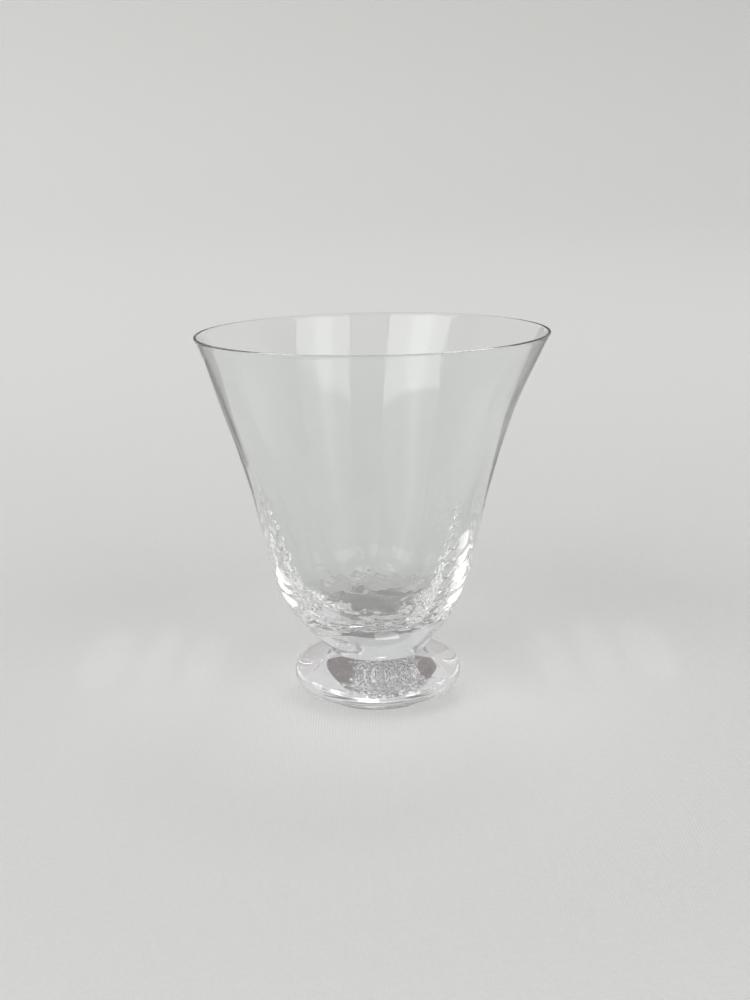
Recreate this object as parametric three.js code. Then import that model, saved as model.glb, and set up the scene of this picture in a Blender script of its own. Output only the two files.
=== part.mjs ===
// A clear, free-blown drinking glass: a thin flared bowl with a heavy bottom and soft
// vertical panels on the inside, fused to a solid bun foot. Millimetres, +Z up.
import * as THREE from 'three';
import { mergeVertices } from 'three/addons/utils/BufferGeometryUtils.js';

// Bowl, outside
const RIM_HEIGHT = 101.0; // top of the lip above the table
const RIM_RADIUS = 47.0;
const RIM_FLARE = THREE.MathUtils.degToRad(24.4); // lean of the wall from upright at the rim
const BELLY_HEIGHT = 37.9; // where the flared wall turns into the rounded bottom
const BELLY_RADIUS = 27.45;
const BELLY_LEAN = THREE.MathUtils.degToRad(11.5);
const WAIST_HEIGHT = 14.15; // the joint between bowl and foot
const WAIST_RADIUS = 13.25;
const WAIST_SLOPE = THREE.MathUtils.degToRad(52.5); // rise of the bowl's underside at the joint
// How far each end of the two outside curves keeps its direction, as a share of the curve's rise
const WAIST_PULL = 0.3;
const BELLY_PULL_DOWN = 0.5;
const BELLY_PULL_UP = 0.4;
const RIM_PULL = 0.37;

// Bowl, inside
const RIM_WALL = 0.9;
const BELLY_WALL = 2.0;
const WALL_FADE = 5; // power of the law that thins the wall from belly to rim
const FLOOR_HEIGHT = 25.4; // top of the heavy bottom
const FLOOR_RADIUS = 12.5; // flat middle of the floor
const FLOOR_EASE = 6.0; // how far the hollow's corner stays near the floor
const CORNER_EASE = 8.0; // how far the hollow's corner stays near the wall

// Optic panels: hollows in the inside wall, parted by ribs that fade out upwards
const PANEL_COUNT = 8;
const PANEL_TURN = THREE.MathUtils.degToRad(-5); // first rib, from the front towards the right
const RIB_DEPTH = 1.8; // how far a rib stands into the bowl near the floor
const RIB_HALF_WIDTH = 1.6;
const RIB_TOP = 61.0; // height at which the ribs have faded out
const RIB_FADE = 1.5; // power of that fading

// Foot
const FOOT_RADIUS = 22.9;
const FOOT_WIDEST_HEIGHT = 7.0;
const BASE_RADIUS = 13.5; // flat resting face
const BASE_BEVEL = THREE.MathUtils.degToRad(34); // rise of the foot's side where it leaves that face
const FOOT_CROWN = 3.85; // how far the foot's top keeps its gentle slope out from the joint
const FOOT_CROWN_DROP = 1.1;
const SHOULDER_EASE = 5.5; // bend above the widest line
const FLANK_EASE = 3.5; // bend below it
const BASE_EASE = 5.0; // bend into the resting face

// Facets
const STEPS_PER_PANEL = 14;
const FOOT_STEPS = 80;
const WALL_RINGS = 10;
const BEND_RINGS = 8;
const LIP_RINGS = 4;

const point = (radius, height) => new THREE.Vector2(radius, height);

// A point at a distance and an angle, measured from level, from another one.
const along = (start, angle, distance) =>
  point(start.x + distance * Math.cos(angle), start.y + distance * Math.sin(angle));

const bend = (...corners) => new THREE.CubicBezierCurve(...corners);

const waist = point(WAIST_RADIUS, WAIST_HEIGHT);
const belly = point(BELLY_RADIUS, BELLY_HEIGHT);
const bellyUp = Math.PI / 2 - BELLY_LEAN;
const rimUp = Math.PI / 2 - RIM_FLARE;

// The lip is half round, so the straight wall stops half a wall below the top.
const LIP_RADIUS = RIM_WALL / 2;
const lipOuter = point(RIM_RADIUS, RIM_HEIGHT - LIP_RADIUS);

const WALL_RISE = lipOuter.y - belly.y;
const BOTTOM_RISE = belly.y - waist.y;

// Outside: rounded bottom from the joint to the belly, then the flared wall to the lip.
const bottomCurve = bend(
  waist,
  along(waist, WAIST_SLOPE, BOTTOM_RISE * WAIST_PULL),
  along(belly, bellyUp + Math.PI, BOTTOM_RISE * BELLY_PULL_DOWN),
  belly,
);
const wallCurve = bend(
  belly,
  along(belly, bellyUp, WALL_RISE * BELLY_PULL_UP),
  along(lipOuter, rimUp + Math.PI, WALL_RISE * RIM_PULL),
  lipOuter,
);

// The inside wall is the outside one moved in by a thickness that dies away towards the rim.
function insideOf(outside) {
  const climb = THREE.MathUtils.clamp((outside.y - belly.y) / WALL_RISE, 0, 1);
  const wall = RIM_WALL + (BELLY_WALL - RIM_WALL) * (1 - climb) ** WALL_FADE;
  return point(outside.x - wall, outside.y);
}

function lipPoints() {
  const centre = point(lipOuter.x - LIP_RADIUS, lipOuter.y);
  const points = [];
  for (let step = 1; step < LIP_RINGS; step += 1) {
    points.push(along(centre, (Math.PI * step) / LIP_RINGS, LIP_RADIUS));
  }
  return points;
}

// The hollow from the lip down to the axis: wall, rounded corner and flat floor.
function hollowPoints() {
  const wall = wallCurve.getSpacedPoints(WALL_RINGS).map(insideOf).reverse();
  const wallEnd = wall.at(-1);
  const wallDown = wallEnd.clone().sub(wall.at(-2)).angle();
  const floorEdge = point(FLOOR_RADIUS, FLOOR_HEIGHT);
  const corner = bend(
    wallEnd,
    along(wallEnd, wallDown, CORNER_EASE),
    along(floorEdge, 0, FLOOR_EASE),
    floorEdge,
  );
  return [...wall, ...corner.getSpacedPoints(BEND_RINGS).slice(1), point(0, FLOOR_HEIGHT)];
}

// How far the rib nearest to a turn stands in at a place on the hollow.
function ribDepth(turn, radius, height) {
  const pitch = (2 * Math.PI) / PANEL_COUNT;
  const offset = THREE.MathUtils.euclideanModulo(turn - PANEL_TURN + pitch / 2, pitch) - pitch / 2;
  const climb = (RIB_TOP - height) / (RIB_TOP - FLOOR_HEIGHT);
  const fade = THREE.MathUtils.clamp(climb, 0, 1) ** RIB_FADE;
  return RIB_DEPTH * fade * Math.exp(-(((offset * radius) / RIB_HALF_WIDTH) ** 2));
}

// Lathe a closed outline about +Z; its turn 0 is the front, and turns run towards +X.
function turned(outline, steps, firstTurn = 0) {
  const geometry = new THREE.LatheGeometry(outline, steps, firstTurn);
  geometry.rotateX(Math.PI / 2);
  geometry.deleteAttribute('normal');
  geometry.deleteAttribute('uv');
  return geometry;
}

function bowlGeometry() {
  const outside = [
    point(0, WAIST_HEIGHT),
    ...bottomCurve.getSpacedPoints(BEND_RINGS),
    ...wallCurve.getSpacedPoints(WALL_RINGS).slice(1),
  ];
  const hollow = hollowPoints();
  const outline = [...outside, ...lipPoints(), ...hollow];
  const firstHollow = outline.length - hollow.length;
  const geometry = turned(outline, PANEL_COUNT * STEPS_PER_PANEL, PANEL_TURN);
  const places = geometry.getAttribute('position');
  for (let index = 0; index < places.count; index += 1) {
    const { x: radius, y: height } = outline[index % outline.length];
    if (index % outline.length < firstHollow || radius === 0) {
      continue;
    }
    const turn = Math.atan2(places.getX(index), -places.getY(index));
    const pushed = radius - ribDepth(turn, radius, height);
    places.setXY(index, pushed * Math.sin(turn), -pushed * Math.cos(turn));
  }
  return mergeVertices(geometry);
}

function footGeometry() {
  const baseEdge = point(BASE_RADIUS, 0);
  const widest = point(FOOT_RADIUS, FOOT_WIDEST_HEIGHT);
  const flank = bend(
    baseEdge,
    along(baseEdge, BASE_BEVEL, BASE_EASE),
    along(widest, -Math.PI / 2, FLANK_EASE),
    widest,
  );
  const crown = bend(
    widest,
    along(widest, Math.PI / 2, SHOULDER_EASE),
    point(WAIST_RADIUS + FOOT_CROWN, WAIST_HEIGHT - FOOT_CROWN_DROP),
    waist,
  );
  const outline = [
    point(0, 0),
    ...flank.getSpacedPoints(BEND_RINGS),
    ...crown.getSpacedPoints(BEND_RINGS).slice(1),
    point(0, WAIST_HEIGHT),
  ];
  return mergeVertices(turned(outline, FOOT_STEPS));
}

function piece(name, geometry, colour) {
  const material = new THREE.MeshStandardMaterial({
    color: colour,
    roughness: 0.04,
    metalness: 0,
    transparent: true,
    opacity: 0.4,
  });
  const mesh = new THREE.Mesh(geometry, material);
  mesh.name = name;
  return mesh;
}

const drinkingGlass = new THREE.Group();
drinkingGlass.add(piece('bowl', bowlGeometry(), 0xeef2f1));
drinkingGlass.add(piece('foot', footGeometry(), 0xe9edee));

export default drinkingGlass;
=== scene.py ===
# %% [markdown]
# # A free-blown drinking glass
# The glass has two pieces, fused while hot: a thin flared bowl with a heavy bottom and soft
# optic panels on its inside, and a solid bun foot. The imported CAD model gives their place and
# size. This lesson rebuilds both as fine meshes, because refraction shows every facet.

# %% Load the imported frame
from math import cos, pi, radians, sin

import bpy
import numpy as np
from mathutils import Matrix, Vector, noise


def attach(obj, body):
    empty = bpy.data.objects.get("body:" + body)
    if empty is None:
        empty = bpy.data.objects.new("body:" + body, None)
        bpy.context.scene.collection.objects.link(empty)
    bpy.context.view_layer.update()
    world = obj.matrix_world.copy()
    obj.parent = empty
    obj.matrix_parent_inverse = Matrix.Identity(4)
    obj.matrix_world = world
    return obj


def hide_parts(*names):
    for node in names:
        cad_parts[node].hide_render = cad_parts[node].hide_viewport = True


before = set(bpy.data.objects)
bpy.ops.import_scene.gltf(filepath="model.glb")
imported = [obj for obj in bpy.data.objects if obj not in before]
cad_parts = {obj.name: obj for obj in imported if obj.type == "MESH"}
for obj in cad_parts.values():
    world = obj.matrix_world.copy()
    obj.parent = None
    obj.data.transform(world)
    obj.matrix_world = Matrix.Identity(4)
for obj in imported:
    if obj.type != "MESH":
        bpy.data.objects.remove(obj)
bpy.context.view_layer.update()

# %% [markdown]
# ## Profiles
# A blown glass is a turned form, so each piece starts as a profile of radius and height. Bezier
# curves give the long sweeps with few numbers. A Screw modifier could turn them, but the optic
# ribs change around the axis, so the rings are worked out here, in millimetres.

# %% Curve helpers
MM = 0.001


def bend(start, leave, arrive, end, places):
    """Points of a Bezier curve, as rows of radius and height in millimetres."""
    t = np.linspace(0, 1, places)[:, None] if isinstance(places, int) else places[:, None]
    corners = [np.array(corner, float) for corner in (start, leave, arrive, end)]
    weights = (1 - t) ** 3, 3 * t * (1 - t) ** 2, 3 * t * t * (1 - t), t ** 3
    return sum(weight * corner for weight, corner in zip(weights, corners))


def along(start, degrees, distance):
    """The point at a distance from another, in a direction measured up from level."""
    return start[0] + distance * cos(radians(degrees)), start[1] + distance * sin(radians(degrees))


def level(radius_from, radius_to, height, count):
    """A flat stretch of profile."""
    return np.column_stack([np.linspace(radius_from, radius_to, count), np.full(count, height)])


# %% [markdown]
# ## The outside of the bowl
# Outside, the bowl is smooth and round: it swells from the joint to the belly, then opens in one
# long flare to the rim. One curve with many points could trace that, but two Bezier curves that
# meet at the belly keep the sweep clean. The sizes are those of the CAD model.

# %% The outside of the bowl
WAIST = (13.25, 14.15)
BELLY = (27.45, 37.9)
WAIST_SLOPE, BELLY_SLOPE, RIM_SLOPE = 52.5, 78.5, 65.6  # degrees up from level
RIM_RADIUS, RIM_HEIGHT, RIM_WALL = 47.0, 101.0, 0.9
LIP = RIM_WALL / 2
lip_outer = (RIM_RADIUS, RIM_HEIGHT - LIP)
bottom_rise = BELLY[1] - WAIST[1]
wall_rise = lip_outer[1] - BELLY[1]

bottom_side = bend(
    WAIST,
    along(WAIST, WAIST_SLOPE, 0.3 * bottom_rise),
    along(BELLY, BELLY_SLOPE + 180, 0.5 * bottom_rise),
    BELLY,
    48,
)
wall_bend = (
    BELLY,
    along(BELLY, BELLY_SLOPE, 0.4 * wall_rise),
    along(lip_outer, RIM_SLOPE + 180, 0.37 * wall_rise),
    lip_outer,
)
wall_side = bend(*wall_bend, 64)
print("bowl outside:", len(bottom_side) + len(wall_side), "rings up to", RIM_HEIGHT, "mm")

# %% [markdown]
# ## The inside of the bowl
# The wall is thin at the fire-polished lip and thickens downwards into a heavy bottom. A Solidify
# modifier gives one thickness only, so the inside is the outside moved in by a thickness that
# changes with height, followed by a rounded corner and a flat floor. The lowest rings lie close
# together, because the fine ripples are there.

# %% The inner wall
BELLY_WALL, THINNING = 2.0, 5
FINE_SHARE = 0.4
fine_places = np.concatenate(
    [np.linspace(0, FINE_SHARE, 120, endpoint=False), np.linspace(FINE_SHARE, 1, 40)]
)
under_wall = bend(*wall_bend, fine_places)
climb = np.clip((under_wall[:, 1] - BELLY[1]) / wall_rise, 0, 1)
wall = RIM_WALL + (BELLY_WALL - RIM_WALL) * (1 - climb) ** THINNING
inner_wall = np.column_stack([under_wall[:, 0] - wall, under_wall[:, 1]])[::-1]
print("wall:", RIM_WALL, "mm at the lip,", BELLY_WALL, "mm at the belly")

# %% The lip, the corner and the floor
FLOOR_HEIGHT, FLOOR_RADIUS = 25.4, 12.5
CORNER_EASE, FLOOR_EASE = 8.0, 6.0
lip_turns = np.linspace(0, pi, 17)[1:-1]
lip_arc = np.column_stack(
    [RIM_RADIUS - LIP + LIP * np.cos(lip_turns), lip_outer[1] + LIP * np.sin(lip_turns)]
)
wall_down = inner_wall[-1] - inner_wall[-2]
wall_down /= np.hypot(*wall_down)
corner = bend(
    inner_wall[-1],
    inner_wall[-1] + CORNER_EASE * wall_down,
    (FLOOR_RADIUS + FLOOR_EASE, FLOOR_HEIGHT),
    (FLOOR_RADIUS, FLOOR_HEIGHT),
    90,
)
inside = np.vstack([inner_wall, corner[1:], level(FLOOR_RADIUS, 0, FLOOR_HEIGHT, 16)[1:]])
print("bowl inside:", len(inside), "rings, floor at", FLOOR_HEIGHT, "mm")

# %% [markdown]
# ## Turning a profile into a skin
# Each profile point becomes a ring. A blown bowl is never quite true: here its body stands a
# little to the left of its rim and foot. A Lattice could bend a finished mesh that way, but with
# the points in arrays the bend is one sum, and a hundred thousand of them stay quick.

# %% Rings round the axis
TURNS = 512
LEAN = -1.25  # millimetres towards +X
LEAN_START, LEAN_RISE, LEAN_FALL = 8, 26, 22  # heights over which it comes and goes
turn = np.arange(TURNS) * 2 * pi / TURNS  # 0 is the front, and turns run towards +X


def ease(share):
    """A share of the way from 0 to 1, eased at both ends."""
    share = np.clip(share, 0, 1)
    return share * share * (3 - 2 * share)


def rings(radius, height):
    """Points of rings whose radius and height may change around the axis, in metres."""
    radius, height = np.broadcast_arrays(radius, height)
    lean = LEAN * ease((height - LEAN_START) / LEAN_RISE) * ease((RIM_HEIGHT - height) / LEAN_FALL)
    return MM * np.stack([radius * np.sin(turn) + lean, -radius * np.cos(turn), height], axis=-1)


print("each ring has", TURNS, "points, and the body leans by", LEAN, "mm")

# %% [markdown]
# ## The skin
# The rings are joined with quads, and both ends close on the axis in a pole. Smooth shading hides
# the facets, and a sharp ring keeps the crease where the two pieces were fused. A few faces can
# take a second finish.

# %% The skin builder
def skin(name, grid, crease_rings=(), second_finish=()):
    """A closed, smooth mesh from rings that start and end on the axis."""
    body = grid[1:-1]
    count = len(body)
    points = np.vstack([body.reshape(-1, 3), grid[0, :1], grid[-1, :1]])
    first_pole, last_pole = len(points) - 2, len(points) - 1
    here, after = np.arange(TURNS), (np.arange(TURNS) + 1) % TURNS
    faces = [(first_pole, int(b), int(a)) for a, b in zip(here, after)]
    for ring in range(count - 1):
        low, high = ring * TURNS, (ring + 1) * TURNS
        faces += np.column_stack([low + here, low + after, high + after, high + here]).tolist()
    top = (count - 1) * TURNS
    faces += [(int(top + a), int(top + b), last_pole) for a, b in zip(here, after)]

    mesh = bpy.data.meshes.new(name)
    mesh.from_pydata(points.tolist(), [], faces)
    mesh.polygons.foreach_set("use_smooth", [True] * len(faces))
    between = np.repeat(np.arange(count - 1), TURNS)
    face_ring = np.concatenate([[-1] * TURNS, between, [count] * TURNS])
    is_second = np.isin(face_ring, second_finish).astype(np.int32)
    mesh.polygons.foreach_set("material_index", is_second)

    ends = np.empty(2 * len(mesh.edges), np.int32)
    mesh.edges.foreach_get("vertices", ends)
    edge_rings = ends.reshape(-1, 2) // TURNS
    in_one_ring = edge_rings[:, 0] == edge_rings[:, 1]
    on_crease = in_one_ring & np.isin(edge_rings[:, 0], crease_rings)
    mesh.edges.foreach_set("use_edge_sharp", on_crease)
    mesh.update()

    piece = bpy.data.objects.new(name, mesh)
    bpy.context.scene.collection.objects.link(piece)
    print(name, "has", len(mesh.vertices), "points and", len(faces), "faces")
    return piece


# %% [markdown]
# ## Optic ribs
# Inside, eight panels meet in ribs that are strong near the floor and die away up the wall. They
# are uneven in place and depth, and the glass on them is rippled. A bump map would only tilt the
# light a little. Real relief breaks it up as the glass does, so ribs and ripples are pushed into
# the inner rings.

# %% Rib places and a field of ripples
RIB_TURNS = np.radians([-5, 45, 85, 130, 175, 220, 265, 304])
RIB_DEPTHS = np.array([0.5, 1.9, 1.8, 1.8, 1.5, 1.6, 1.8, 2.0])
RIB_RIPPLES = [0.1, 1.0, 1.0, 0.2, 0.1, 0.2, 1.0, 1.0]
RIB_TOP = 61.0
WAVES = 9


def across(turns, centre):
    """The signed turn from a rib's centre."""
    return (turns - centre + pi) % (2 * pi) - pi


def swirl(sideways, down, seed):
    """Smooth, uneven ripples 1.7 to 4.2 mm long, whose crests mostly run sideways."""
    pick = np.random.default_rng(seed)
    leans, starts = pick.uniform(-0.9, 0.9, WAVES), pick.uniform(0, 2 * pi, WAVES)
    field = 0
    for length, lean, start in zip(np.linspace(1.7, 4.2, WAVES), leans, starts):
        phase = 2 * pi / length * (down * cos(lean) + sideways * sin(lean)) + start
        field = field + length / 3 * np.sin(phase)
    return field / 2.2


print(len(RIB_TURNS), "ribs up to", RIB_TOP, "mm")

# %% Ribs and their ripples
RIB_SHARE, RIPPLE_DEPTH = 0.8, 0.19
radius, height = inside[:, :1], inside[:, 1:]
run = np.concatenate([[0], np.cumsum(np.hypot(*np.diff(inside, axis=0).T))])[:, None]
rib_fade = np.clip((RIB_TOP - height) / (RIB_TOP - FLOOR_HEIGHT), 0, 1)
floor_fade = np.clip((radius - 7.0) / 6.0, 0, 1)

push = np.zeros((len(inside), TURNS))  # how far each point goes into the hollow, in millimetres
for number, (centre, depth, rippled) in enumerate(zip(RIB_TURNS, RIB_DEPTHS, RIB_RIPPLES)):
    sway = 0.5 * np.sin(height / 6.1 + 1.9 * number) + 0.25 * np.sin(height / 2.3 + number)
    offset = across(turn, centre) * radius + sway * rib_fade
    ridge = np.exp(-(np.abs(offset / (0.8 + 2.0 * rib_fade)) ** 1.6)) * rib_fade ** 1.5
    wedge = np.exp(-((offset / (0.5 + 4.2 * rib_fade)) ** 2)) * np.minimum(5 * rib_fade, 1)
    arcs = run + 0.09 * offset ** 2 + 0.5 * np.sin(0.9 * offset + number)
    ripples = RIPPLE_DEPTH * rippled * wedge * swirl(offset, arcs, number)
    push += (RIB_SHARE * depth * ridge + ripples) * floor_fade
print("deepest rib", round(float(push.max()), 2), "mm")

# %% [markdown]
# ## The floor and the wall
# The ripples go on round the corner of the floor, most at the front. The floor has a low ring and
# shallow waves, and faint upright cords run up the wall, as they do in drawn glass. All of them
# are sums of sines, which are smooth: noise of this depth would look like hammered glass.

# %% Corner, floor and cords
CORNER_TOP, CORNER_DEPTH = 34.0, 0.07
RING_RADIUS, RING_WIDTH, RING_DEPTH = 15.2, 0.7, 0.12
FLOOR_WAVE, FLOOR_WAVE_DEPTH = 3.4, 0.07
CORDS = ((7, 0.031, 0.4, 0.05), (13, -0.023, 2.2, 0.03), (23, 0.047, 4.1, 0.014))

corner_zone = np.clip((CORNER_TOP - height) / 6, 0, 1) * floor_fade
mostly_front = 0.6 + 0.4 * np.cos(turn)
push += CORNER_DEPTH * mostly_front * corner_zone * swirl(18 * np.sin(turn), run, 20)

wobble = 0.35 * np.sin(3 * turn + 0.5) + 0.2 * np.sin(8 * turn)
floor_ring = np.exp(-(((radius + wobble - RING_RADIUS) / RING_WIDTH) ** 2))
floor_waves = np.sin(2 * pi * (radius + 2 * wobble) / FLOOR_WAVE)
floor_waves *= np.clip((radius - 4) / 4, 0, 1) * np.clip((17 - radius) / 2, 0, 1)
push += (RING_DEPTH * floor_ring + FLOOR_WAVE_DEPTH * floor_waves) * (height < 30)

cords = np.zeros_like(push)
for waves, drift, phase, depth in CORDS:
    wander = drift * height * waves / 7 + np.sin(height / 17 + phase)
    cords += depth * np.sin(waves * turn + wander + phase)
push += cords * floor_fade * np.clip((RIM_HEIGHT - 3 - height) / 12, 0, 1)
print("cords up to", round(float(np.abs(cords).max()), 2), "mm")

# %% Push the inside
slope = np.gradient(inside, axis=0)
slope /= np.hypot(slope[:, 0], slope[:, 1])[:, None]
inward = np.column_stack([slope[:, 1], -slope[:, 0]])
inner_radius = np.maximum(radius + push * inward[:, :1], 0)
inner_height = height + push * inward[:, 1:]
print("lowest point inside at", round(float(inner_height.min()), 2), "mm")

# %% [markdown]
# ## The bowl
# The outline runs from the joint up the outside, over the lip and down the inside. The flat
# disc at the joint is where the hot bowl was stuck on the foot. Glass is continuous there, so
# that disc has a second finish that lets light straight through. A Boolean union would also do
# that, but it would leave one piece where the glass has two.

# %% The bowl
joint_disc = level(0, WAIST[0], WAIST[1], 5)
outside = np.vstack([joint_disc, bottom_side[1:], wall_side[1:], lip_arc])
bowl_grid = np.concatenate(
    [rings(outside[:, :1] + 0 * turn, outside[:, 1:]), rings(inner_radius, inner_height)]
)
joint_ring = len(joint_disc) - 2
bowl = skin("bowl_blown", bowl_grid, [joint_ring], [-1, *range(joint_ring)])

# %% [markdown]
# ## The foot
# The foot is a solid gather of glass pressed into a low bun: a sloping crown, a round shoulder,
# a flank drawn in underneath and a flat base. It is turned as the bowl is. The rings of the base
# lie close together, because the scar in it needs them.

# %% The outline of the foot
FOOT_RADIUS, FOOT_WIDEST = 22.9, 7.0
SHOULDER_EASE, FLANK_EASE = 5.5, 3.5
CROWN_SLOPE, CROWN_EASE = -16, 4.0
BASE_RADIUS, BASE_BEVEL, BASE_EASE = 13.5, 34, 5.0
widest = (FOOT_RADIUS, FOOT_WIDEST)
base_edge = (BASE_RADIUS, 0.0)
base = level(0, BASE_RADIUS - 0.45, 0, 90)
flank = bend(
    base_edge,
    along(base_edge, BASE_BEVEL, BASE_EASE),
    (FOOT_RADIUS, FOOT_WIDEST - FLANK_EASE),
    widest,
    44,
)
base_round = bend((BASE_RADIUS - 0.4, 0), (BASE_RADIUS - 0.1, 0), flank[0], flank[1], 6)
crown = bend(
    widest,
    (FOOT_RADIUS, FOOT_WIDEST + SHOULDER_EASE),
    along(WAIST, CROWN_SLOPE, CROWN_EASE),
    WAIST,
    56,
)
foot_outline = np.vstack([base, base_round, flank[2:], crown[1:], joint_disc[::-1][1:]])
print("foot:", len(foot_outline), "rings,", 2 * FOOT_RADIUS, "mm across")

# %% [markdown]
# ## The pontil scar
# Under the foot, the iron rod that held the glass was broken off and left a shallow, crumbly
# hollow. Through the foot it shows as a pale broken patch. A Displace modifier could dent the
# base, but a few lines on its rings keep the rim of the scar ragged and the rest dead flat.

# %% The pontil scar and the foot
PONTIL = Vector((2.0, -1.0, 0.0))
PONTIL_RADIUS, PONTIL_DEPTH = 8.0, 0.7
foot_grid = rings(foot_outline[:, :1] + 0 * turn, foot_outline[:, 1:])
for ring in foot_grid[1 : len(base) - 1]:
    for spot in ring:
        place = Vector(spot) / MM - PONTIL
        crumble = noise.fractal(place * 0.55, 0.9, 2.0, 4)
        hollow = 1 - (place.xy.length / PONTIL_RADIUS) ** 2 + 0.5 * crumble
        spot[2] += MM * PONTIL_DEPTH * min(max(hollow, 0), 1) * (0.75 + 0.5 * crumble)
foot_grid[0, :, 2] = foot_grid[1, :, 2].mean()
crease = len(foot_outline) - len(joint_disc) - 1
joint_faces = [*range(crease, len(foot_outline)), len(foot_outline)]
foot = skin("foot_bun", foot_grid, [crease], joint_faces)

# %% [markdown]
# ## Writing finishes as sums
# A finish is a graph of nodes. Placed one by one they are hard to read, so a small class wraps a
# node's output and turns Python's operators into Math nodes. A second class holds the tree, and
# its one method makes every other node.

# %% Outputs that take part in sums
class Strand:
    """A node's output that takes part in sums."""

    def __init__(self, finish, socket):
        self.finish, self.socket = finish, socket

    def maths(self, operation, *terms):
        return self.finish.node("ShaderNodeMath", {"operation": operation}, dict(enumerate(terms)))

    def __add__(self, other):
        return self.maths("ADD", self, other)

    def __sub__(self, other):
        return self.maths("SUBTRACT", self, other)

    def __rsub__(self, other):
        return self.maths("SUBTRACT", other, self)

    def __mul__(self, other):
        return self.maths("MULTIPLY", self, other)

    def __pow__(self, other):
        return self.maths("POWER", self, other)

    def __rpow__(self, other):
        return self.maths("POWER", other, self)

    def __abs__(self):
        return self.maths("ABSOLUTE", self)

    def or_more(self, other):
        """The larger of two values."""
        return self.maths("MAXIMUM", self, other)

    __radd__, __rmul__ = __add__, __mul__


# %% The finish writer
class Finish:
    """A node tree that is written node by node."""

    def __init__(self, owner):
        owner.use_nodes = True
        self.owner, self.tree = owner, owner.node_tree

    def fill(self, node, sockets):
        """Sets or links a node's inputs."""
        for name, value in sockets.items():
            if isinstance(value, Strand):
                self.tree.links.new(value.socket, node.inputs[name])
            else:
                node.inputs[name].default_value = value

    def node(self, kind, settings=None, sockets=None, output=0):
        """A new node with its settings and inputs; gives one of its outputs."""
        made = self.tree.nodes.new(kind)
        for name, value in (settings or {}).items():
            setattr(made, name, value)
        self.fill(made, sockets or {})
        return Strand(self, made.outputs[output])

    def shader(self, sockets, name="Principled BSDF"):
        """Fills inputs of the shader that a new tree already has."""
        self.fill(self.tree.nodes[name], sockets)

    def fade(self, value, start, stop, low=0.0, high=1.0):
        """Eases from low to high while a value goes from start to stop."""
        limits = {"From Min": start, "From Max": stop, "To Min": low, "To Max": high}
        return self.node(
            "ShaderNodeMapRange", {"interpolation_type": "SMOOTHSTEP"}, {"Value": value, **limits}
        )

    def blend(self, share, first, second):
        """A colour between two others."""
        sockets = {"Factor": share, "A": first, "B": second}
        return self.node("ShaderNodeMix", {"data_type": "RGBA"}, sockets, output="Result")

    def parts(self, vector):
        """The three parts of a vector."""
        apart = self.node("ShaderNodeSeparateXYZ", {}, {"Vector": vector}).socket.node
        return [Strand(self, output) for output in apart.outputs]


# %% [markdown]
# ## Clear glass
# The glass is clear, with the faintest tint. A Glass BSDF would do, but a Principled shader with
# full transmission also survives the export. Slow waves stay in a blown surface, and they go in
# as bump because they are far shallower than the ribs. The roughness varies by a hair, as after
# wiping. In the scar, specks of rough broken glass scatter the light.

# %% The glass finish
GLASS_IOR = 1.5


def clear_glass(name, tint, scar=None):
    """Clear glass; a scar gives the centre and reach of a crumbly patch low down, in metres."""
    finish = Finish(bpy.data.materials.new(name))
    place = finish.node("ShaderNodeTexCoord", output="Object")
    slow = finish.node("ShaderNodeTexNoise", {}, {"Vector": place, "Scale": 55.0, "Detail": 1.0})
    smears = finish.node("ShaderNodeTexNoise", {}, {"Vector": place, "Scale": 130.0, "Detail": 3.0})
    waves = finish.node("ShaderNodeBump", {}, {"Strength": 0.06, "Distance": 0.002, "Height": slow})
    rough = smears ** 4 * 0.06
    if scar:
        centre, reach = scar
        grain = {"Vector": place, "Scale": 650.0, "Detail": 2.0}
        crumbs = finish.node("ShaderNodeTexNoise", {}, grain)
        apart = {"operation": "DISTANCE"}
        away = finish.node("ShaderNodeVectorMath", apart, {0: place, 1: centre}, output="Value")
        rough = rough + finish.fade(crumbs * 1.6 - away * (0.8 / reach), 0.25, 0.35) * 0.45
    finish.shader({"Base Color": tint, "Roughness": rough, "Normal": waves})
    finish.shader({"IOR": GLASS_IOR, "Transmission Weight": 1.0})
    return finish.owner


# %% Finishes on the two pieces
bowl_glass = clear_glass("bowl_glass_clear", (0.95, 0.96, 0.955, 1))
foot_glass = clear_glass(
    "foot_glass_clear", (0.985, 0.985, 0.99, 1), (MM * PONTIL, MM * PONTIL_RADIUS)
)
fused = Finish(bpy.data.materials.new("fused_joint"))
fused.shader({"Alpha": 0.0})

for piece, glass in ((bowl, bowl_glass), (foot, foot_glass)):
    piece.data.materials.append(glass)
    piece.data.materials.append(fused.owner)
    print(piece.name, "is", [finish.name for finish in piece.data.materials])

# %% [markdown]
# ## Riding on the CAD
# The real glass is rigid, so both pieces ride on its one body, and each stands for the CAD node
# of the same shape. The nodes could stay and show, but their facets would show in the glass.

# %% Ride and replace
for piece, node in ((bowl, "bowl"), (foot, "foot")):
    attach(piece, "root")
    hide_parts(node)

# %% [markdown]
# ## The cove
# The glass stands on pale cloth. A flat floor would end in a horizon line, so the cloth runs back
# into a low round cove on every side.

# %% The shape of the cove
COVE_FLAT, COVE_BEND, COVE_TOP = 2.2, 0.8, 0.5  # metres
FLAT_RINGS, BEND_RINGS = 20, 24
COVE_TURNS = 96
arc = np.linspace(0, pi / 2, BEND_RINGS)[1:]
flat_radius = np.linspace(0, COVE_FLAT, FLAT_RINGS)
cove_radius = np.concatenate([flat_radius, COVE_FLAT + COVE_BEND * np.sin(arc)])
cove_height = np.concatenate([np.zeros(FLAT_RINGS), COVE_TOP * (1 - np.cos(arc))])

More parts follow.
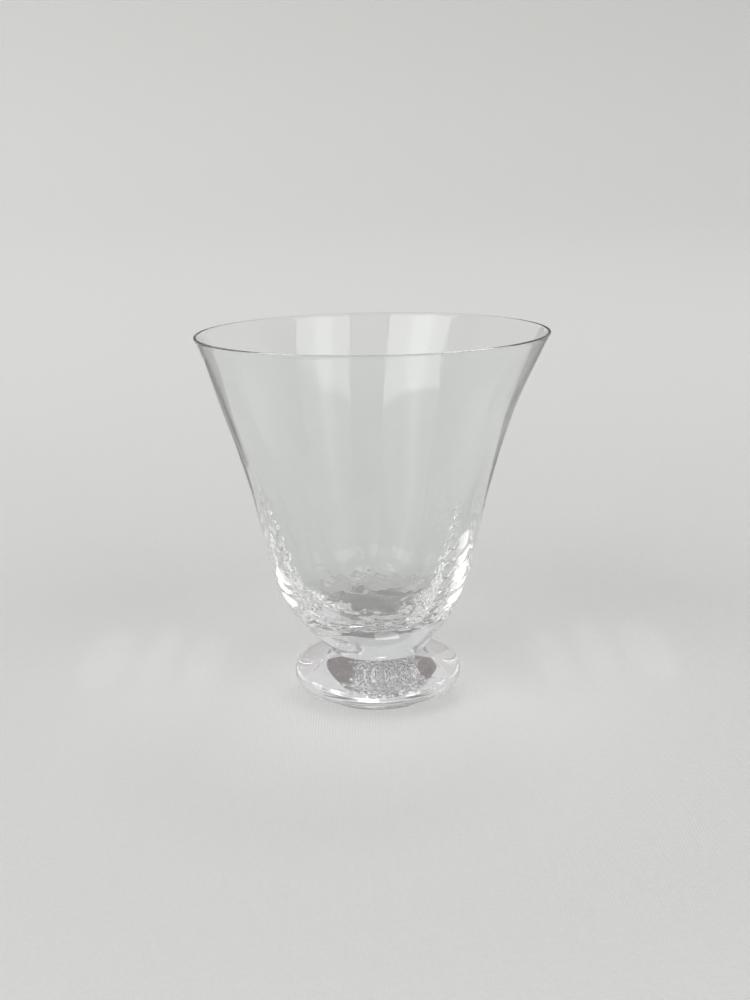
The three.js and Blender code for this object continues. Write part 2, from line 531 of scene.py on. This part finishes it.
angles = np.arange(COVE_TURNS) * 2 * pi / COVE_TURNS
cove_points = [(0, 0, 0)]
for out, up in zip(cove_radius[1:], cove_height[1:]):
    cove_points += [(out * sin(angle), out * cos(angle), up) for angle in angles]
cove_faces = [(0, 1 + (a + 1) % COVE_TURNS, 1 + a) for a in range(COVE_TURNS)]
for ring in range(len(cove_radius) - 2):
    low, high = 1 + ring * COVE_TURNS, 1 + (ring + 1) * COVE_TURNS
    for a in range(COVE_TURNS):
        b = (a + 1) % COVE_TURNS
        cove_faces.append((low + a, low + b, high + b, high + a))
print("cove:", len(cove_faces), "faces")

# %% [markdown]
# ## The cloth
# The cloth is a fine, pale weave. Threads could be modelled, but at this size two crossed wave
# textures in a bump are enough, with a little fuzz that also varies the colour.

# %% The weave
THREADS = 420.0
cloth = Finish(bpy.data.materials.new("cloth"))
spot = cloth.node("ShaderNodeTexCoord", output="Object")
thread = {"Vector": spot, "Scale": THREADS, "Distortion": 1.5}
warp = cloth.node("ShaderNodeTexWave", {"bands_direction": "X"}, thread)
weft = cloth.node("ShaderNodeTexWave", {"bands_direction": "Y"}, thread)
fuzz = cloth.node("ShaderNodeTexNoise", {}, {"Vector": spot, "Scale": 900.0, "Detail": 2.0})
relief = {"Strength": 0.25, "Distance": 0.0003, "Height": warp * weft + fuzz}
weave = cloth.node("ShaderNodeBump", {}, relief)
cloth_tone = cloth.blend(fuzz, (0.72, 0.725, 0.71, 1), (0.78, 0.78, 0.765, 1))
cloth.shader({"Base Color": cloth_tone, "Roughness": 0.95, "Normal": weave})
cloth.shader({"Specular IOR Level": 0.1})
print("cloth: threads at scale", THREADS)

# %% [markdown]
# ## Painted light on the cloth
# The cloth stays pale far back and close round the foot, where the glass throws light on it. More
# lamps would burn out the glass, so the cloth gets a weak glow of painted light instead. Round the
# foot only the camera sees it, and it lightens the foot's shadow there. Far back and towards the
# left the camera and the glass both see it. Light Path tells those rays apart, and the shadow
# stays, lighter round the foot.

# %% Painted light on the cloth
camera_ray = cloth.node("ShaderNodeLightPath", output="Is Camera Ray")
glossy_ray = cloth.node("ShaderNodeLightPath", output="Is Glossy Ray")
far = cloth.node("ShaderNodeVectorMath", {"operation": "LENGTH"}, {0: spot}, output="Value")
dot = {"operation": "DOT_PRODUCT"}
painted_light_leftward = cloth.node("ShaderNodeVectorMath", dot, {0: spot, 1: (-0.045, 0, 0)}, output="Value")
# painted light round the foot, for camera rays only: it lightens the foot's shadow on the cloth
painted_light_round_foot = 0.17 * 0.37 ** (far * far * 200) + 0.13 * 0.37 ** (far * far * 900)
# painted light that grows far back and towards the left, seen by the camera and through the glass
painted_light = painted_light_round_foot * camera_ray + 0.275 - 0.25 ** far * 0.27 + painted_light_leftward
seen = camera_ray.or_more(glossy_ray)
glow = cloth.blend(seen * painted_light, (0, 0, 0, 1), (1.0, 1.0, 0.975, 1))
cloth.shader({"Emission Color": glow, "Emission Strength": 1.0})


def stage_mesh(name, points, faces, finish):
    """A mesh of the stage, which is no part of the glass."""
    mesh = bpy.data.meshes.new(name)
    mesh.from_pydata(points, [], faces)
    mesh.materials.append(finish.owner)
    thing = bpy.data.objects.new(name, mesh)
    bpy.context.scene.collection.objects.link(thing)
    return thing


cove = stage_mesh("cove", cove_points, cove_faces, cloth)
cove.data.polygons.foreach_set("use_smooth", [True] * len(cove_faces))
CLOTH_GAP = 0.05  # millimetres under the foot, so that the two faces never fight
cove.location.z = -CLOTH_GAP * MM
print("cloth lies", CLOTH_GAP, "mm under the foot")

# %% [markdown]
# ## Soft light
# Two tall windows light the glass from behind the camera, left and right, and show as pale panes
# on its far wall. Area lamps would mirror as even rectangles. Glowing cards can be brighter
# towards the top and along one streak, and soft at the sides, as panes are.

# %% The soft panels
PANEL_LOW, PANEL_HIGH, PANEL_DISTANCE = 0.2, 1.35, 1.1  # metres


def soft_panel(name, azimuth, width, strength, streak):
    """A glowing card that faces the glass; azimuth 0 is the front and runs towards +X."""
    a = radians(azimuth)
    out, side = Vector((sin(a), -cos(a), 0)), Vector((cos(a), sin(a), 0))
    corners = [
        tuple(PANEL_DISTANCE * out + s * side * width / 2 + Vector((0, 0, h)))
        for h in (PANEL_LOW, PANEL_HIGH)
        for s in (-1, 1)
    ]
    pane = Finish(bpy.data.materials.new(name))
    sideways, _, rise = pane.parts(pane.node("ShaderNodeTexCoord", output="Generated"))
    sides = pane.fade(sideways * (1 - sideways), 0.015, 0.045)
    upper = pane.fade(rise, 0.40, 0.47, 0.32, 1.0)
    gap = (sideways - streak) * 9.0
    bright = 0.7 + 0.8 * 0.37 ** (gap * gap)
    tone = pane.blend(sides * upper * bright, (0, 0, 0, 1), (0.98, 1.0, 1.0, 1))
    pane.shader({"Base Color": (0, 0, 0, 1), "Specular IOR Level": 0.0})
    pane.shader({"Emission Color": tone, "Emission Strength": strength})
    card = stage_mesh(name, corners, [(0, 1, 3, 2)], pane)
    card.visible_camera = False
    print(name, "at", azimuth, "degrees,", width, "m wide")


soft_panel("panel_left", -40, 1.15, 2.9, 0.45)
soft_panel("panel_right", 40, 0.95, 2.4, 0.5)

# %% [markdown]
# ## Cards that only the glass sees
# Clear glass has no look of its own: its dark and bright lines are what stands round it, bent.
# Photographers of glass put black and white cards there. These do the same, and Blender can hide
# them from the camera and keep them from lighting or shading the cloth.

# %% The card maker
CARD_HEIGHT = 0.001
WARM_WHITE = (1, 0.98, 0.97, 1)


def glass_card(name, corners, tone, tint=WARM_WHITE, soft=False):
    """An even card for the glass alone; a soft one fades out in an oval."""
    finish = Finish(bpy.data.materials.new(name))
    finish.shader({"Base Color": (0, 0, 0, 1), "Specular IOR Level": 0.0})
    finish.shader({"Emission Color": tint, "Emission Strength": tone})
    if soft:
        x, y, _ = finish.parts(finish.node("ShaderNodeTexCoord", output="Generated"))
        off_centre = (x - 0.5) ** 2 + (y - 0.5) ** 2
        finish.shader({"Alpha": finish.fade(off_centre, 0.13, 0.25, 1.0, 0.0)})
    card = stage_mesh(name, corners, [tuple(range(len(corners)))], finish)
    card.visible_camera = card.visible_diffuse = card.visible_shadow = False
    print(name, "tone", tone)


def flat(side, corners):
    """Corners just above the cloth; side -1 mirrors them to the left."""
    return [(side * x, y, CARD_HEIGHT) for x, y in corners]


def oblong(x_near, x_far, y_near, y_far):
    """Corners of a rectangle."""
    return (x_near, y_near), (x_near, y_far), (x_far, y_far), (x_far, y_near)


# %% [markdown]
# ## Flags, streaks, painted light and a painted shadow
# On each side a dark flag lies where the thick edges of the bowl look, which draws them as thin
# grey lines. Three streaks nearer by stand for the light that the glass itself throws, and whiten
# the lower edges. A pad of painted light beside the foot covers the foot's shadow on the cloth and
# keeps its shoulders pale. One painted shadow behind the foot darkens the floor of the bowl.

# %% Cards beside the glass
FLAG = (
    (0.075, 0.14), (0.097, 0.2), (0.141, 0.31), (0.228, 0.46),
    (0.475, 0.81), (0.9, 0.86), (0.5, 0.14),
)
STREAKS = (
    (0.045, 0.058, 0.004, 0.058), (0.060, 0.071, 0.006, 0.066), (0.073, 0.090, 0.004, 0.066)
)
# painted light: a pale card over the foot's shadow on the cloth, seen only through the glass
PAINTED_LIGHT_PAD = (
    (0.0148, -0.012), (0.0148, 0), (0.0105, 0.0105), (0.011, 0.018),
    (0.022, 0.026), (0.034, 0.026), (0.04, 0.015), (0.04, -0.012),
)
for side, word in ((-1, "left"), (1, "right")):
    glass_card("flag_" + word, flat(side, FLAG), 0.25)
    for number, streak in enumerate(STREAKS):
        glass_card(f"caustic_{word}_{number}", flat(side, oblong(*streak)), 3.2, soft=True)
    glass_card("painted_light_pad_" + word, flat(side, PAINTED_LIGHT_PAD), 0.62)
# painted shadow: a dark card for the glass's shadow on the cloth behind the foot
glass_card("painted_shadow_behind", flat(1, oblong(-0.025, 0.025, 0.021, 0.062)), 0.5, soft=True)

# %% [markdown]
# ## The dim wall
# Behind the glass the room is darker and a little warm low down, and that is the brown-grey
# patch seen through the foot. Two upright cards far back give it, one above the other, where a
# darker world would dim the whole glass.

# %% The dim wall
DIM_LEFT, DIM_RIGHT, DIM_BACK = -0.95, 0.62, 2
for name, low, high, tone, tint in (
    ("dim_low", 0.1, 1.2, 0.27, (1, 0.92, 0.9, 1)),
    ("dim_high", 1.2, 2.2, 0.55, (0.97, 0.97, 1, 1)),
):
    sill = [(DIM_LEFT, DIM_BACK, low), (DIM_RIGHT, DIM_BACK, low)]
    glass_card(name, sill + [(DIM_RIGHT, DIM_BACK, high), (DIM_LEFT, DIM_BACK, high)], tone, tint)

# %% [markdown]
# ## Two small lamps
# One lamp above and one behind light the cloth and put small sparks in the foot and the ripples.
# Point lamps have no face to mirror, so these are area lamps, whose size sets the size of a spark.
# Each one's power comes from how bright its face should look.

# %% The lamps
for name, place, size, radiance in (
    ("top_spot", (0, -0.25, 1.4), (0.5, 0.4), 2.2),
    ("back_spot", (0.15, 0.5, 1.2), (0.3, 0.3), 3.0),
):
    lamp = bpy.data.lights.new(name, "AREA")
    lamp.shape, lamp.size, lamp.size_y = "RECTANGLE", *size
    lamp.energy = radiance * pi * size[0] * size[1]
    light = bpy.data.objects.new(name, lamp)
    bpy.context.scene.collection.objects.link(light)
    light.location = place
    light.rotation_euler = (-light.location).to_track_quat("-Z", "Y").to_euler()
    light.visible_camera = False
    print(name, round(lamp.energy, 2), "W")

# %% [markdown]
# ## The room
# The rest of the room is the world: dim in front and low down, paler behind and overhead, with
# one dim ring about 51 degrees up. A picture of a room could be used, but a few smooth steps of
# direction are enough for glass. The camera itself sees an even pale grey.

# %% The room
DIM_ROOM, PALE_ROOM = (0.27, 0.255, 0.25, 1), (0.66, 0.66, 0.665, 1)
BACKDROP = (0.68, 0.68, 0.66, 1)
RING_RISE = 0.78  # sine of its elevation
world = bpy.data.worlds.new("room")
bpy.context.scene.world = world
room = Finish(world)
_, back, rise = room.parts(room.node("ShaderNodeTexCoord", output="Generated"))
overhead = room.fade(rise, 0.4, 0.68)
behind = room.fade(back, -0.4, 0.2)
off_ring = room.fade(abs(rise - RING_RISE), 0.04, 0.1)
walls = room.blend(overhead.or_more(behind) * off_ring, DIM_ROOM, PALE_ROOM)
looked_at = room.node("ShaderNodeLightPath", output="Is Camera Ray")
room.shader({"Color": room.blend(looked_at, walls, BACKDROP)}, "Background")
print("room:", len(world.node_tree.nodes), "nodes")

# %% [markdown]
# ## The camera
# The photograph looks down a little on the glass from the front, and leans by one degree. The
# lens and place were fitted to the rim and the foot. A Track To constraint would aim it, but the
# plain matrix keeps the measured pitch.

# %% The camera
CAMERA_PLACE, PITCH, ROLL = (0, -0.395264, 0.148643), radians(13.292), radians(-1)
camera = bpy.data.objects.new("camera", bpy.data.cameras.new("camera"))
bpy.context.scene.collection.objects.link(camera)
camera.data.lens, camera.data.sensor_width = 54, 36
look = Vector((0, cos(PITCH), -sin(PITCH)))
aim = look.to_track_quat("-Z", "Y").to_matrix().to_4x4()
camera.matrix_world = Matrix.Translation(CAMERA_PLACE) @ aim @ Matrix.Rotation(ROLL, 4, "Z")
bpy.context.scene.camera = camera
bpy.context.scene.view_settings.view_transform = "Standard"
print("camera at", CAMERA_PLACE)

# %% [markdown]
# ## Long light paths
# Light caught in the rim and the foot bounces many times before it leaves. Blender's usual limits
# cut those paths off, and their ends turn black, so the limits go up.

# %% Long light paths
cycles = bpy.context.scene.cycles
cycles.max_bounces, cycles.transmission_bounces = 96, 96
cycles.glossy_bounces, cycles.transparent_max_bounces = 96, 24
print("up to", cycles.max_bounces, "bounces")
